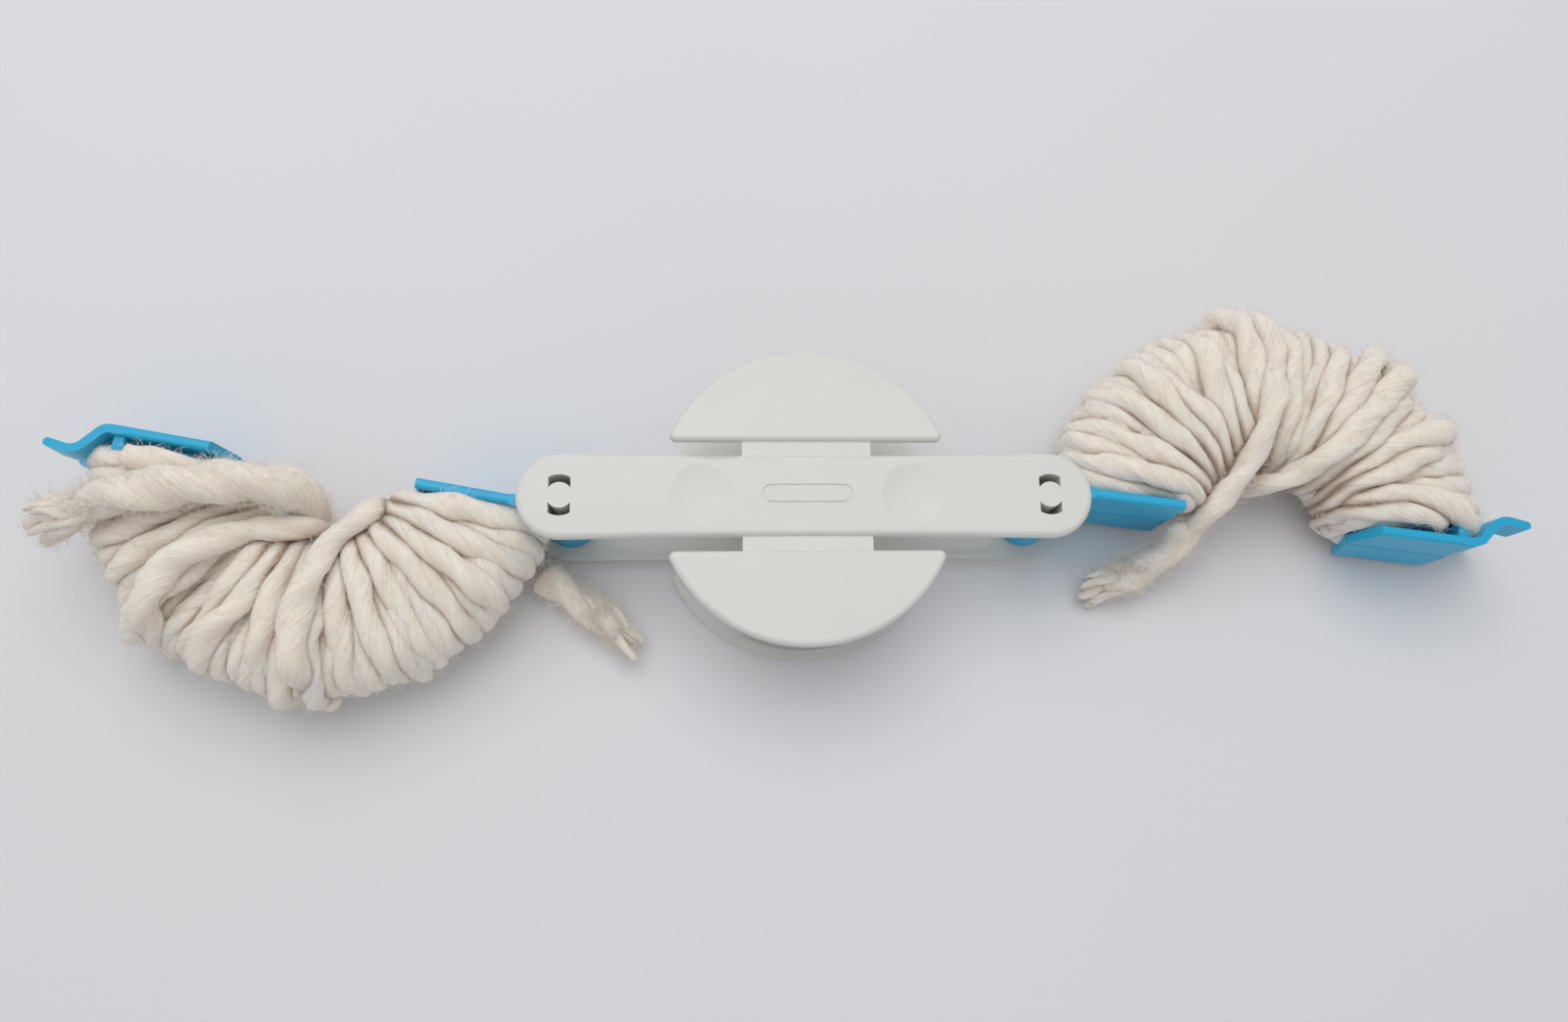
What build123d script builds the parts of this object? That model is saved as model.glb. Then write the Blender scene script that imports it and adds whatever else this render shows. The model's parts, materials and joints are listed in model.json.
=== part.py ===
from build123d import *
import os
from math import asin, cos, degrees, radians, sin, sqrt

# A folding ring maker for pom poms: two snap-together halves, each a slim bar with two
# round guards and a pair of half-ring arms hinged at the bar's ends. It lies open, with
# chunky yarn wound on both pairs of arms. Millimetres, +Z up. X runs along the bar, the
# origin is the middle of the lower bar's outer face, and the two halves meet at mid_z.

# ---- the two halves and their bars ----
half_height = 12.5
mid_z = half_height
pivot_x = 47.4
bar_end_radius = 8.4
bar_waist = 8.0
bar_edge_round = 1.2
plate = 1.8
tray_depth = 0.4
lip_width = 1.0
tray_end_gap = 6.4
tray_corner = 2.5
dimple_x = 20.35
dimple_radius = 6.15
dimple_depth = 0.7
badge_length = 17.8
badge_width = 4.2
badge_groove = 0.8
badge_depth = 0.25

# ---- guards and neck ----
guard_radius = 29.26
guard_edge_y = 10.88
guard_corner = 1.2
guard_edge_round = 1.0
neck_half_width = 12.54
neck_drop = 1.0
neck_thickness = 1.9
ridge_width = 1.5
ridge_inset = 0.4
ridge_drop = 1.1

# ---- centre column and its snap pin ----
column_length = 19.0
column_width = 11.0
column_wall = 1.5
column_corner = 3.0
pin_radius = 2.45
pin_reach = 5.0
pin_clearance = 0.05
socket_wall = 1.1

# ---- hinges ----
post_radius = 2.52
slot_outer = 4.05
slot_half_width = 2.1
hub_radius = 4.7
hub_gap_to_middle = 1.0
hinge_clearance = 0.05
ring_wall = 0.85
bead_height = 0.6
bead_proud = 0.25
play = 0.2

# ---- arms ----
ring_inner = 19.84
ring_outer = 39.6
channel_height = 4.8
channel_wall = 1.5
channel_round = 1.0
rib_thickness = 1.2
rib_angles = (30, 60, 90, 120, 150)
middle_gap = 0.15
wall_offset = 2.0
wall_thickness = 2.0
wall_round = 0.7
wall_slant = 2.0
foot_length = 2.4
lug_flare = 1.6
buttress_width = 2.0
buttress_reach = 2.6
buttress_drop = 1.2
finger_thickness = 1.7
finger_height = 7.0
finger_bend = 2.6
finger_rise_angle = 52.0
finger_rise = 3.5
finger_crest_radius = 3.6
finger_droop_angle = 8.0
finger_tip = 3.2
open_left = 169.55
open_right = 172.44

# ---- yarn ----
yarn_mid_radius = 29.7
yarn_half_flat = 6.5
core_radius = 6.2
core_chords = 6
core_gap = 0.2
yarn_wall_gap = 1.4
yarn_latch_gap = 3.2
loops = 18
strand = 2.3
strand_sides = 6
layer_gap = 0.5
layer_rise = 3.1
top_rise = 1.0
first_lean = 9.0
tail_strand = 7.5
tail_sides = 12
tail_points = (
    (-90.5, 5.0, 17.6),
    (-97.0, 3.6, 26.0),
    (-107.0, 1.8, 30.2),
    (-120.0, 0.2, 30.5),
    (-133.0, -1.7, 28.6),
    (-144.5, -5.0, 22.2),
)
left_tuft = ((-53.4, -11.2, 4.6), (-48.4, -15.0, 4.4), (-42.0, -19.5, 4.3), (-34.8, -26.6, 4.2))
right_tuft = ((79.5, -3.2, 13.0), (77.0, -7.4, 9.0), (70.5, -11.8, 5.0), (60.0, -16.2, 3.9))
tuft_radii = (3.2, 3.6, 3.9, 2.2)
tuft_sides = 8
tail_bend_share = 0.45

# ---- worked out from the sizes above ----
plate_under = half_height - plate
hub_bottom = hub_gap_to_middle
ring_bore = hub_radius + hinge_clearance
lug_radius = ring_bore + ring_wall
wall_top = plate_under - play
lug_bottom = hub_bottom + bead_height + play
neck_top = half_height - neck_drop
neck_under = neck_top - neck_thickness
layer_radii = (core_radius + layer_gap + strand / 2, core_radius + layer_gap + strand / 2 + layer_rise)
big = 4 * ring_outer


def slab(x0, x1, y0, y1, z0, z1):
    """A box given by its six sides."""
    return Pos((x0 + x1) / 2, (y0 + y1) / 2, (z0 + z1) / 2) * Box(x1 - x0, y1 - y0, z1 - z0)


def raised(face, z0, z1):
    """A flat outline drawn on XY, extruded from z0 to z1."""
    return extrude(Pos(0, 0, z0) * face, amount=z1 - z0)


def edges_at(solid, z, tolerance=1e-3):
    """The edges that lie wholly in the level z."""
    return [
        e for e in solid.edges()
        if abs(e.bounding_box().min.Z - z) < tolerance and abs(e.bounding_box().max.Z - z) < tolerance
    ]


# ---- the white halves ----

def bar_outline():
    end = pivot_x + bar_end_radius
    wire = Wire([
        ThreePointArc((-pivot_x, bar_end_radius), (0, bar_waist), (pivot_x, bar_end_radius)),
        ThreePointArc((pivot_x, bar_end_radius), (end, 0), (pivot_x, -bar_end_radius)),
        ThreePointArc((pivot_x, -bar_end_radius), (0, -bar_waist), (-pivot_x, -bar_end_radius)),
        ThreePointArc((-pivot_x, -bar_end_radius), (-end, 0), (-pivot_x, bar_end_radius)),
    ])
    return make_face(wire)


def bar():
    """The bar's cover plate: soft edges, two finger dimples, a blank badge outline and shallow trays."""
    solid = raised(bar_outline(), plate_under, half_height)
    solid = fillet(edges_at(solid, half_height), bar_edge_round)
    ball = (dimple_radius**2 + dimple_depth**2) / (2 * dimple_depth)
    tray_start = neck_half_width + lip_width
    tray_end = pivot_x - tray_end_gap
    tray_half = bar_waist - lip_width
    for side in (-1, 1):
        solid -= Pos(side * dimple_x, 0, half_height - dimple_depth + ball) * Sphere(ball)
        tray = Pos((tray_start + tray_end) / 2 * side, 0) * RectangleRounded(
            tray_end - tray_start, 2 * tray_half, tray_corner
        )
        solid -= raised(tray, plate_under, plate_under + tray_depth)
    badge = SlotOverall(badge_length, badge_width)
    badge -= SlotOverall(badge_length - 2 * badge_groove, badge_width - 2 * badge_groove)
    solid -= raised(badge, half_height - badge_depth, half_height)
    return solid


def guard():
    """One guard: a circle segment with softened edges and a low ridge inside its rim."""
    half_chord = sqrt(guard_radius**2 - guard_edge_y**2)
    wire = Wire([
        Line((-half_chord, guard_edge_y), (half_chord, guard_edge_y)),
        ThreePointArc((half_chord, guard_edge_y), (0, guard_radius), (-half_chord, guard_edge_y)),
    ])
    face = make_face(wire)
    face = fillet(face.vertices(), guard_corner)
    solid = raised(face, plate_under, half_height)
    solid = fillet(edges_at(solid, half_height), guard_edge_round)
    ridge_outer = guard_radius - ridge_inset
    band = Circle(ridge_outer) - Circle(ridge_outer - ridge_width)
    band &= Pos(0, guard_radius) * Rectangle(2 * neck_half_width, guard_radius)
    return solid + raised(band, plate_under - ridge_drop, plate_under)


def hub():
    """The fixed hinge hub under a bar's end, cored by two slots, with a snap bead on each spring wall."""
    solid = Pos(0, 0, (hub_bottom + plate_under) / 2) * Cylinder(hub_radius, plate_under - hub_bottom)
    bead = Pos(0, 0, hub_bottom + bead_height / 2) * Cylinder(hub_radius + bead_proud, bead_height)
    bead = chamfer(bead.edges().group_by(Axis.Z)[0], bead_proud)
    return solid + (bead & Box(2 * slot_half_width, big, big))


def hub_slots():
    """The two slots beside the post, open right through the bar and the hub."""
    face = Circle(slot_outer) - Circle(post_radius)
    face &= Rectangle(2 * slot_half_width, big)
    return raised(face, 0, half_height)


def column():
    """The hollow centre column that carries the bar down to where the halves meet."""
    outer = RectangleRounded(column_length, column_width, column_corner)
    inner = RectangleRounded(
        column_length - 2 * column_wall, column_width - 2 * column_wall, column_corner - column_wall
    )
    return raised(outer, 0, plate_under) - raised(inner, 0, neck_under - column_wall)


def white_half():
    solid = bar() + column()
    neck = guard_edge_y + guard_edge_round + wall_thickness
    solid += slab(-neck_half_width, neck_half_width, -neck, neck, neck_under, neck_top)
    solid += guard()
    solid += mirror(guard(), about=Plane.XZ)
    for side in (-1, 1):
        solid += Pos(side * pivot_x, 0, 0) * hub()
        solid -= Pos(side * pivot_x, 0, 0) * hub_slots()
    return solid


def upper_half():
    """The upper half carries the snap pin."""
    top = neck_under - column_wall
    pin = Pos(0, 0, (top - pin_reach) / 2) * Cylinder(pin_radius, top + pin_reach)
    pin = chamfer(pin.edges().group_by(Axis.Z)[0], pin_radius / 3)
    return white_half() + pin


def lower_half():
    """The lower half mirrors the upper one and carries the socket for its pin."""
    top = neck_under - column_wall
    socket = Cylinder(pin_radius + pin_clearance + socket_wall, top)
    socket -= Cylinder(pin_radius + pin_clearance, top)
    return mirror(white_half() + Pos(0, 0, top / 2) * socket, about=Plane.XY)


# ---- the blue arms, drawn shut: pivot at the origin, ring centre at (pivot_x, 0), bulging to +Y ----

def channel():
    """The half ring that the yarn is wound on: an open channel with cross ribs."""
    width = ring_outer - ring_inner
    height = channel_height - middle_gap
    skin = Pos(ring_inner + width / 2, middle_gap + height / 2) * Rectangle(width, height)
    skin = fillet(skin.vertices().group_by(Axis.Y)[-1], channel_round)
    inner_height = height - channel_wall
    skin -= Pos(ring_inner + width / 2, middle_gap + inner_height / 2) * Rectangle(
        width - 2 * channel_wall, inner_height
    )
    ring = revolve(Plane.XZ * skin, Axis.Z, 180)
    ribs = [
        Rot(0, 0, angle) * slab(
            ring_inner + channel_wall / 2, ring_outer - channel_wall / 2,
            -rib_thickness / 2, rib_thickness / 2,
            middle_gap + channel_wall, channel_height - channel_wall / 2,
        )
        for angle in rib_angles
    ]
    solid = ring + ribs
    return Pos(pivot_x, 0, 0) * (solid & slab(-big, big, wall_offset, big, -big, big))


def finger_line():
    """The latch finger's middle line: out of the wall, up in an S and along past the far hinge."""
    rise = radians(finger_rise_angle)
    start = Vector(pivot_x + ring_outer - 1.0, wall_offset)
    bend = start + Vector(finger_bend * sin(rise), finger_bend * (1 - cos(rise)))
    top = bend + Vector(finger_rise * cos(rise), finger_rise * sin(rise))
    droop = radians(finger_droop_angle)
    crest = top + Vector(
        finger_crest_radius * (sin(rise) + sin(droop)), finger_crest_radius * (cos(droop) - cos(rise))
    )
    tip = crest + Vector(finger_tip * cos(droop), -finger_tip * sin(droop))
    return Wire([
        Line(start - Vector(wall_thickness, 0), start),
        TangentArc(start, bend, tangent=(1, 0)),
        Line(bend, top),
        TangentArc(top, crest, tangent=(cos(rise), sin(rise))),
        Line(crest, tip),
    ])


def finger():
    face = make_face(finger_line().offset_2d(finger_thickness / 2, side=Side.BOTH))
    return raised(face, wall_top - finger_height, wall_top)


def end_wall(u0, u1, slant):
    """A straight wall across the ring's end; slant makes its foot longer than its top."""
    low, high = wall_offset - wall_thickness / 2, wall_offset + wall_thickness / 2
    side = Polyline(
        (u0 - slant, middle_gap), (u1, middle_gap), (u1, wall_top), (u0, wall_top), close=True
    )
    solid = extrude(Plane.XZ * make_face(side), amount=-(high - low))
    return Pos(0, low, 0) * solid


def lug():
    """The ring that turns on the hub, flared into the hinge-side wall."""
    low, high = wall_offset - wall_thickness / 2, wall_offset + wall_thickness / 2
    reach = pivot_x - ring_outer + lug_flare
    flare = Polyline(
        (0, low - lug_flare), (reach, low), (reach, high), (0, high + lug_flare), close=True
    )
    face = Circle(lug_radius) + make_face(flare)
    solid = raised(face, lug_bottom, wall_top)
    bore = Pos(0, 0, half_height / 2) * Cylinder(ring_bore, half_height)
    return solid - bore


def upper_arm_shut():
    inner_end = pivot_x - ring_inner
    hinge_wall = end_wall(pivot_x - ring_outer - foot_length, inner_end, 0)
    latch_wall = end_wall(pivot_x + ring_inner, pivot_x + ring_outer - 1.0, wall_slant)
    walls = hinge_wall + latch_wall
    walls -= Cylinder(ring_bore + ring_wall / 2, big)
    rounds = [e for e in edges_at(walls, wall_top) if e.length > ring_inner / 2]
    walls = fillet(rounds, wall_round)
    high = wall_offset + wall_thickness / 2
    post_u = pivot_x + ring_outer - channel_wall - buttress_width
    buttress = slab(
        post_u, post_u + buttress_width, wall_offset, high + buttress_reach,
        channel_height - channel_wall, wall_top - buttress_drop,
    )
    return channel() + walls + buttress + lug() + finger()


def placed_left(shut, angle=open_left):
    return Pos(-pivot_x, 0, mid_z) * Rot(0, 0, angle) * shut


def placed_right(shut, angle=open_right):
    return Pos(pivot_x, 0, mid_z) * Rot(0, 0, 180 + angle) * shut


# ---- the yarn, drawn on the shut arms ----

def flat_sided_oval(half_flat, radius, chords):
    """An oval with two flat sides, its round ends drawn as chords outside the true radius."""
    corner = radius / cos(radians(90 / chords))
    points = []
    for side in (1, -1):
        for i in range(chords):
            angle = radians(180 * (i + 0.5) / chords - 90)
            points.append((side * (half_flat + corner * cos(angle)), side * corner * sin(angle)))
    return make_face(Polyline(*points, close=True))


def yarn_core():
    """The inner wraps, packed round both channels, as one plain ring with rounded sides."""
    section = Pos(yarn_mid_radius, 0) * flat_sided_oval(yarn_half_flat, core_radius, core_chords)
    low = -channel_height - core_gap
    cavity_width = ring_outer - ring_inner + 2 * core_gap
    cavity = Pos((ring_inner + ring_outer) / 2, (channel_height + low) / 2) * Rectangle(
        cavity_width, channel_height - low
    )
    ring = revolve(Plane.XZ * (section - cavity), Axis.Z, 180)
    start = wall_offset + wall_thickness / 2 + yarn_wall_gap
    ring &= slab(-big, big, start, big, -big, big)
    ring -= slab(0, big, -big, start + yarn_latch_gap, -big, big)
    return Pos(pivot_x, 0, 0) * ring


def biarc(p0, t0, p1, t1):
    """Two arcs from p0 to p1 that keep the directions t0 and t1 at the ends."""
    v = p1 - p0
    along = v.dot(t0 + t1)
    k = 2 * (1 - t0.dot(t1))
    d = (sqrt(along * along + k * v.dot(v)) - along) / k
    a, b = p0 + t0 * d, p1 - t1 * d
    middle = (a + b) * 0.5
    return [
        Edge.make_tangent_arc(p0, t0, middle),
        Edge.make_tangent_arc(middle, (b - a).normalized(), p1),
    ]


def yarn_place(step):
    """The middle of the ring and the strand's direction there, at a step counted in loops."""
    edge_v = wall_offset + wall_thickness / 2 + yarn_wall_gap + strand / 2
    edge_v += (yarn_mid_radius - ring_inner) * sin(radians(first_lean))
    first = degrees(asin(edge_v / yarn_mid_radius))
    last = degrees(asin((edge_v + yarn_latch_gap) / yarn_mid_radius))
    share = step / (loops - 0.5)
    turned = radians(180 - first - share * (180 - first - last))
    fan = radians(180 - first_lean - share * (180 - 2 * first_lean))
    middle = Vector(pivot_x + yarn_mid_radius * cos(turned), yarn_mid_radius * sin(turned), 0)
    return middle, Vector(cos(fan), sin(fan), 0)


def yarn_path():
    """The outer wraps as one line: over the top, round the inside, back below, round the outside.

    The table holds the underside flatter than the top, which stands top_rise higher.
    """
    up = Vector(0, 0, 1)
    edges = []
    last_point, last_way = None, None
    for k in range(loops):
        radius = layer_radii[k % 2]
        middle, way = yarn_place(k)
        top_out = middle + way * yarn_half_flat + up * (radius + top_rise)
        top_in = middle - way * yarn_half_flat + up * (radius + top_rise)
        if last_point is not None:
            edges += biarc(last_point, last_way, top_out, way * -1)
        edges.append(Edge.make_line(top_out, top_in))
        middle, under_way = yarn_place(k + 0.5)
        low_in = middle - under_way * yarn_half_flat - up * radius
        low_out = middle + under_way * yarn_half_flat - up * radius
        edges += biarc(top_in, way * -1, low_in, under_way)
        edges.append(Edge.make_line(low_in, low_out))
        last_point, last_way = low_out, under_way
    return edges


def least_gap(edges, apart=0.5):
    """The least clear gap between a tube and itself, measured on points along its line."""
    points, stations, run = [], [], 0.0
    for e in edges:
        steps = max(2, int(e.length / apart))
        for i in range(steps):
            points.append(e.position_at(i / steps))
            stations.append(run + e.length * i / steps)
        run += e.length
    best = run
    for i, p in enumerate(points):
        for j in range(i + 1, len(points)):
            if stations[j] - stations[i] > 4 * strand:
                q = points[j]
                best = min(best, (p.X - q.X) ** 2 + (p.Y - q.Y) ** 2 + (p.Z - q.Z) ** 2)
    return sqrt(best) - strand


def yarn_wraps():
    edges = yarn_path()
    path = Wire(edges)
    start = edges[0]
    section = Plane(origin=start.position_at(0), z_dir=start.tangent_at(0)) * RegularPolygon(
        strand / 2, strand_sides
    )
    return sweep(section, path=path), least_gap(edges)


def tail():
    """The left winding's free end: straight runs joined by the largest arcs that they allow."""
    points = [Vector(*p) for p in tail_points]
    radii = []
    for a, b, c in zip(points, points[1:], points[2:]):
        half_turn = radians((b - a).get_angle(c - b) / 2)
        shorter = min((b - a).length, (c - b).length)
        radii.append(tail_bend_share * shorter / (sin(half_turn) / cos(half_turn)))
    print("tail radii", [round(r, 1) for r in radii])
    path = FilletPolyline(*points, radius=radii)
    section = RegularPolygon(tail_strand / 2, tail_sides)
    solid = sweep(Plane(origin=path @ 0, z_dir=path % 0) * section, path=path)
    expected = path.length * section.area
    print("tail length", round(path.length, 1), "volume share", round(solid.volume / expected, 4))
    return solid


def tuft(points):
    """A winding's short loose end at the hinge, a soft tapering tuft that comes to lie on the table."""
    middle = [Vector(*p) for p in points]
    sections = []
    for i, p in enumerate(middle):
        way = middle[min(i + 1, len(middle) - 1)] - middle[max(i - 1, 0)]
        square = Plane(origin=p, x_dir=Vector(way.Y, -way.X, 0), z_dir=way)
        sections.append(square * RegularPolygon(min(tuft_radii[i], p.Z), tuft_sides))
    return loft(sections, ruled=True)


def write(name, solid):
    export_step(solid, f"parts/{name}.step")


def main():
    os.makedirs("parts", exist_ok=True)
    write("upper_half", Pos(0, 0, mid_z) * upper_half())
    write("lower_half", Pos(0, 0, mid_z) * lower_half())
    upper_arm = upper_arm_shut()
    lower_arm = mirror(upper_arm, about=Plane.XY)
    core = yarn_core()
    wraps, gap = yarn_wraps()
    print("least gap of the wraps to themselves", round(gap, 2))
    write("left_upper_arm", placed_left(upper_arm))
    write("left_lower_arm", placed_left(lower_arm))
    write("right_upper_arm", placed_right(upper_arm))
    write("right_lower_arm", placed_right(lower_arm))
    write("left_yarn_core", placed_left(core))
    write("right_yarn_core", placed_right(core))
    write("left_yarn_wraps", placed_left(wraps))
    write("right_yarn_wraps", placed_right(wraps))
    write("left_yarn_end_tail", tail())
    write("left_yarn_start_tail", tuft(left_tuft))
    write("right_yarn_start_tail", tuft(right_tuft))


main()
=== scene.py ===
# %% [markdown]
# # A folding pom pom maker and its yarn
# Two white mouldings make the handle, four blue half-ring arms turn on its ends, and thick
# wool roving is wound on each pair of arms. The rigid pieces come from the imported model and
# only get a finish here. The yarn is modelled: one strand is laid round the arms, pushed
# apart where it would run into itself, and skinned as a soft, thick-and-thin tube.

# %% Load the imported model
import json
import math

import bpy
import numpy as np
from mathutils import Matrix, Vector, noise


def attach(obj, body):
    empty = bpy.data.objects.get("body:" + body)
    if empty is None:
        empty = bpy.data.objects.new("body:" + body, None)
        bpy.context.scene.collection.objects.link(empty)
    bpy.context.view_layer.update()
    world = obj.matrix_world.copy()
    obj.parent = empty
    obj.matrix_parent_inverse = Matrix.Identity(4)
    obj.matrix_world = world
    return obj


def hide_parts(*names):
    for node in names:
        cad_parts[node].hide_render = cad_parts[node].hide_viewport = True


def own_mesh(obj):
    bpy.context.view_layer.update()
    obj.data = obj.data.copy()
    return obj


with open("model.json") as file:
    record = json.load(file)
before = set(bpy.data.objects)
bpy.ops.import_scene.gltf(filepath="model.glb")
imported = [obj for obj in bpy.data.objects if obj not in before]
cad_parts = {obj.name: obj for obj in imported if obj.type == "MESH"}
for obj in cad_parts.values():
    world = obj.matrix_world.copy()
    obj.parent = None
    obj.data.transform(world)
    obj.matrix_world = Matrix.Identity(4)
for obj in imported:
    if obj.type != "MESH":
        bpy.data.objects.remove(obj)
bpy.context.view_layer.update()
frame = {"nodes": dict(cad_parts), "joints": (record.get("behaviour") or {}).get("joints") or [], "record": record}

MM = 0.001
joints = {joint["name"]: joint for joint in frame["joints"]}

# %% [markdown]
# ## Camera
# The photograph looks steeply down from the near side. The lens and the place below were
# found by matching the bar's ends, the slots and the tips of the arms in the picture.

# %% The camera at the photograph's angle
PHOTO_WIDTH = 1600
FOCAL_PIXELS = 1256
SENSOR_WIDTH = 36
CAMERA_PLACE = Vector((-18.83, -57.19, 253.92)) * MM
CAMERA_LOOKS = Vector((0.0603, 0.2288, -0.9716))
CAMERA_UP = Vector((0.0021, 0.9733, 0.2293))
NEAREST_SEEN = 10 * MM
FARTHEST_SEEN = 20

camera_data = bpy.data.cameras.new("photo_camera")
camera_data.sensor_width = SENSOR_WIDTH
camera_data.lens = FOCAL_PIXELS / PHOTO_WIDTH * SENSOR_WIDTH
camera_data.clip_start = NEAREST_SEEN
camera_data.clip_end = FARTHEST_SEEN
camera = bpy.data.objects.new("photo_camera", camera_data)
bpy.context.scene.collection.objects.link(camera)
backward = -CAMERA_LOOKS.normalized()
sideways = CAMERA_UP.cross(backward).normalized()
camera.matrix_world = Matrix.Translation(CAMERA_PLACE) @ Matrix(
    (sideways, backward.cross(sideways), backward)
).transposed().to_4x4()
bpy.context.scene.camera = camera
bpy.context.scene.view_settings.view_transform = "Standard"

# %% [markdown]
# ## Helpers
# Colours are read off as sRGB hex values, and Blender's sockets want linear ones. One
# function adds any shader or geometry node, and a few more add the nodes that every
# material here uses, so that a material reads as a short list of steps.

# %% Colour and node helpers
MIX_SHARE, MIX_FIRST, MIX_SECOND, MIX_RESULT = 0, 6, 7, 2


def linear(hex_colour):
    """An sRGB hex colour as the linear RGBA that a socket takes."""
    channels = [int(hex_colour[i : i + 2], 16) / 255 for i in (1, 3, 5)]
    straight = [
        c / 12.92 if c <= 0.04045 else ((c + 0.055) / 1.055) ** 2.4 for c in channels
    ]
    return (*straight, 1.0)


def add_node(tree, kind, settings=None, links=None):
    """One node with its settings, its inputs joined to other nodes' outputs."""
    made = tree.nodes.new(kind)
    for name, value in (settings or {}).items():
        if isinstance(name, str) and hasattr(made, name):
            setattr(made, name, value)
        else:
            made.inputs[name].default_value = value
    for socket, source in (links or {}).items():
        tree.links.new(source, made.inputs[socket])
    return made


def mottle(tree, place, **settings):
    """Noise at a place, from 0 to 1."""
    return add_node(tree, "ShaderNodeTexNoise", settings, {"Vector": place}).outputs["Fac"]


def blended(tree, share, first, second):
    """Two colours mixed. Each is a hex colour or another node's colour."""
    settings, links = {"data_type": "RGBA"}, {MIX_SHARE: share}
    for socket, colour in ((MIX_FIRST, first), (MIX_SECOND, second)):
        if isinstance(colour, str):
            settings[socket] = linear(colour)
        else:
            links[socket] = colour
    return add_node(tree, "ShaderNodeMix", settings, links).outputs[MIX_RESULT]


def ranged(tree, value, **limits):
    """A value moved from one range to another: From_Min, From_Max, To_Min and To_Max."""
    settings = {name.replace("_", " "): limit for name, limit in limits.items()}
    return add_node(tree, "ShaderNodeMapRange", settings, {0: value}).outputs[0]


def computed(tree, operation, first, second):
    """One sum on two values."""
    settings = {"operation": operation}
    return add_node(tree, "ShaderNodeMath", settings, {0: first, 1: second}).outputs[0]


def bumped(tree, height, strength, depth):
    """The surface's direction, tilted by a height."""
    settings = {"Strength": strength, "Distance": depth}
    return add_node(tree, "ShaderNodeBump", settings, {"Height": height}).outputs[0]


def surfaced(tree, settings, links):
    """Ends a material: its surface, joined to the output."""
    surface = add_node(tree, "ShaderNodeBsdfPrincipled", settings, links)
    add_node(tree, "ShaderNodeOutputMaterial", {}, {"Surface": surface.outputs[0]})


def new_material(name):
    """An empty node material and its tree."""
    material = bpy.data.materials.new(name)
    material.use_nodes = True
    material.node_tree.nodes.clear()
    return material, material.node_tree


# %% [markdown]
# ## Floor and light
# The photograph was taken on a plain table in soft daylight from the far side. A wide
# lamp overhead gives the soft shadows, and a pale world fills them.

# %% The floor
FLOOR_SIZE = 3.0


def painted_board():
    """Matt pale board: a broad even grey with the least mottling."""
    material, tree = new_material("matt_painted_board")
    place = add_node(tree, "ShaderNodeTexCoord").outputs["Object"]
    cloud = mottle(tree, place, Scale=6.0, Detail=2.0)
    tone = blended(tree, cloud, "#E1E0E1", "#E6E6E8")
    surfaced(tree, {"Roughness": 0.85}, {"Base Color": tone})
    return material


floor_mesh = bpy.data.meshes.new("floor")
half = FLOOR_SIZE / 2
corners = [(-half, -half, 0), (half, -half, 0), (half, half, 0), (-half, half, 0)]
floor_mesh.from_pydata(corners, [], [(0, 1, 2, 3)])
floor = bpy.data.objects.new("floor", floor_mesh)
bpy.context.scene.collection.objects.link(floor)
floor.data.materials.append(painted_board())

# %% The lamp and the world
LAMP_SIZE = 0.8
LAMP_PLACE = Vector((-0.08, 0.30, 0.75))
LAMP_WATTS = 3.2
WORLD_STRENGTH = 0.55
WORLD_COLOUR = "#F4F6FA"

lamp_data = bpy.data.lights.new("window_light", "AREA")
lamp_data.shape = "DISK"
lamp_data.size = LAMP_SIZE
lamp_data.energy = LAMP_WATTS
lamp = bpy.data.objects.new("window_light", lamp_data)
lamp.location = LAMP_PLACE
lamp.rotation_euler = (-LAMP_PLACE).to_track_quat("-Z", "Y").to_euler()
bpy.context.scene.collection.objects.link(lamp)

world = bpy.data.worlds.new("room")
world.use_nodes = True
world.node_tree.nodes.clear()
room = add_node(
    world.node_tree, "ShaderNodeBackground",
    {"Color": linear(WORLD_COLOUR), "Strength": WORLD_STRENGTH},
)
add_node(world.node_tree, "ShaderNodeOutputWorld", {}, {"Surface": room.outputs[0]})
bpy.context.scene.world = world

# %% [markdown]
# ## The two plastics
# The handle is taken to be ABS, moulded in a tool with a finely sparked face: it looks
# satin, because the grain scatters the light. The arms look like a smoother polypropylene.
# A real grain of about 0.1 mm would vanish at this distance, so it is drawn at 0.4 mm.

# %% Moulded plastics
GRAIN = 0.4 * MM
DRIFT_SCALE = 45.0
MORE_GLOSS = 0.06
LESS_GLOSS = 0.08


def moulded_plastic(name, colour, flow_colour, roughness, grain_depth):
    """Satin moulding: a slight drift of colour, uneven gloss and a fine sparked grain."""
    material, tree = new_material(name)
    place = add_node(tree, "ShaderNodeTexCoord").outputs["Object"]
    drift = mottle(tree, place, Scale=DRIFT_SCALE, Detail=3.0)
    grain = mottle(tree, place, Scale=1 / GRAIN, Detail=2.0)
    tone = blended(tree, drift, colour, flow_colour)
    gloss = ranged(
        tree, drift, To_Min=roughness - MORE_GLOSS, To_Max=roughness + LESS_GLOSS
    )
    bump = bumped(tree, grain, strength=0.25, depth=grain_depth)
    surfaced(tree, {"IOR": 1.5}, {"Base Color": tone, "Roughness": gloss, "Normal": bump})
    return material


white_abs = moulded_plastic("sparked_white_abs", "#E0DFD9", "#DBDBD5", 0.45, 0.04 * MM)
blue_pp = moulded_plastic("satin_blue_polypropylene", "#1FB0DB", "#18A6D2", 0.36, 0.03 * MM)
FINISH = {"white_plastic": white_abs, "blue_plastic": blue_pp}
for part in frame["record"]["subparts"]:
    if part["material_slot"] in FINISH:
        cad_object = frame["nodes"][part["node"]]
        cad_object.data.materials.clear()
        cad_object.data.materials.append(FINISH[part["material_slot"]])
        print("finished", part["node"])

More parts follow.
